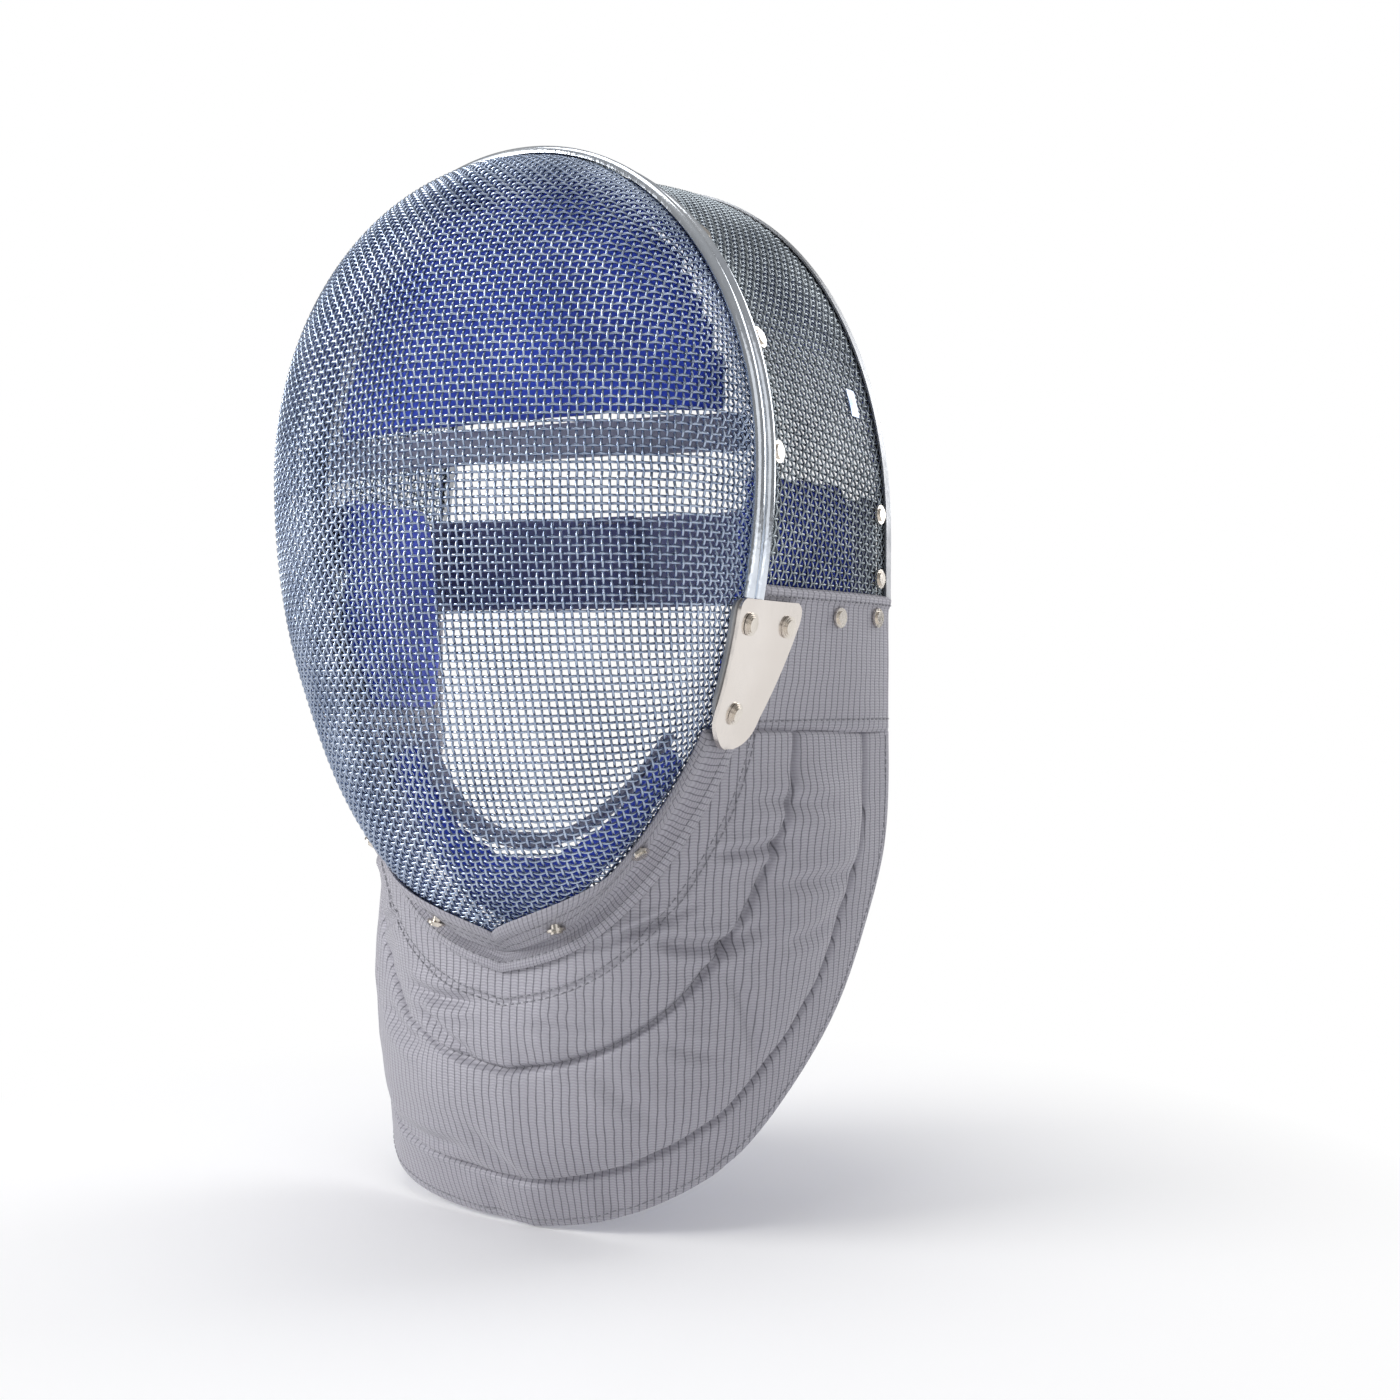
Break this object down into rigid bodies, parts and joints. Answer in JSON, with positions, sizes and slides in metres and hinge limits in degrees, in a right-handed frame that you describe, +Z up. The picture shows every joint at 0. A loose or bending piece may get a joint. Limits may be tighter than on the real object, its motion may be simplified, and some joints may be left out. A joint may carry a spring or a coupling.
{
  "type": "sabre fencing mask",
  "caption": "Full-head sabre mask: creased wire-mesh visor on a beaded steel rim, mesh side shell, padded lining, quilted conductive bib and a hook-and-loop rear strap.",
  "frame": {"origin": "on the symmetry plane at eye level, at the middle of the wearer's head", "axes": "+Z up, -Y forward through the crease of the visor, +X to the wearer's left"},
  "size_m": [0.2337, 0.1979, 0.4271],
  "materials": {
    "mesh_steel": "polished stainless wire",
    "rim_chrome": "bright, fine scratches",
    "plate_steel": "satin, slightly warm",
    "band_steel": "plain rolled strip",
    "rivet_steel": "flat stepped heads",
    "conductive_fabric": "silver-grey ribbed metallic weave",
    "lining_fabric": "plain weave",
    "trim_tape": "woven tape",
    "blue_padding": "matt towelling over foam",
    "elastic_dark": "woven elastic",
    "strap_grey": "woven strap",
    "hook_and_loop": "hook and loop tape",
    "tag_metal": "plain foil"
  },
  "bodies": {
    "shell": {"backing_plate_left": "plate_steel", "backing_plate_right": "plate_steel", "bib_hem": "conductive_fabric", "bib_lining": "lining_fabric", "bib_roll": "conductive_fabric", "bib_upper": "conductive_fabric", "cheek_pad_left": "blue_padding", "cheek_pad_right": "blue_padding", "chin_pad": "blue_padding", "chin_trim": "trim_tape", "crown_pad": "blue_padding", "ear_panel_left": "conductive_fabric", "ear_panel_right": "conductive_fabric", "ear_rivets_left": "rivet_steel", "ear_rivets_right": "rivet_steel", "forehead_pad": "blue_padding", "forehead_trim": "trim_tape", "front_mesh": "mesh_steel", "inner_rim_band": "band_steel", "jaw_binding": "trim_tape", "jaw_rivets": "rivet_steel", "loop_patch": "hook_and_loop", "rear_rim": "rim_chrome", "rim_rivets": "rivet_steel", "rim_strip": "rim_chrome", "side_mesh": "mesh_steel", "side_plate_left": "plate_steel", "side_plate_right": "plate_steel", "side_plate_rivets_left": "plate_steel", "side_plate_rivets_right": "plate_steel", "side_tag": "tag_metal", "strap_anchor": "strap_grey", "strap_rivets": "rivet_steel", "strap_tab": "elastic_dark", "tab_rivets": "rivet_steel"},
    "closing_strap": {"rear_strap": "strap_grey", "hook_patch": "hook_and_loop"}
  },
  "joints": [
    {"name": "strap_swing", "type": "hinge", "parent": "shell", "child": "closing_strap", "pos_m": [0.1027, 0.0506, -0.008], "axis": [0, 0, -1], "range_deg": [0, 90]}
  ]
}
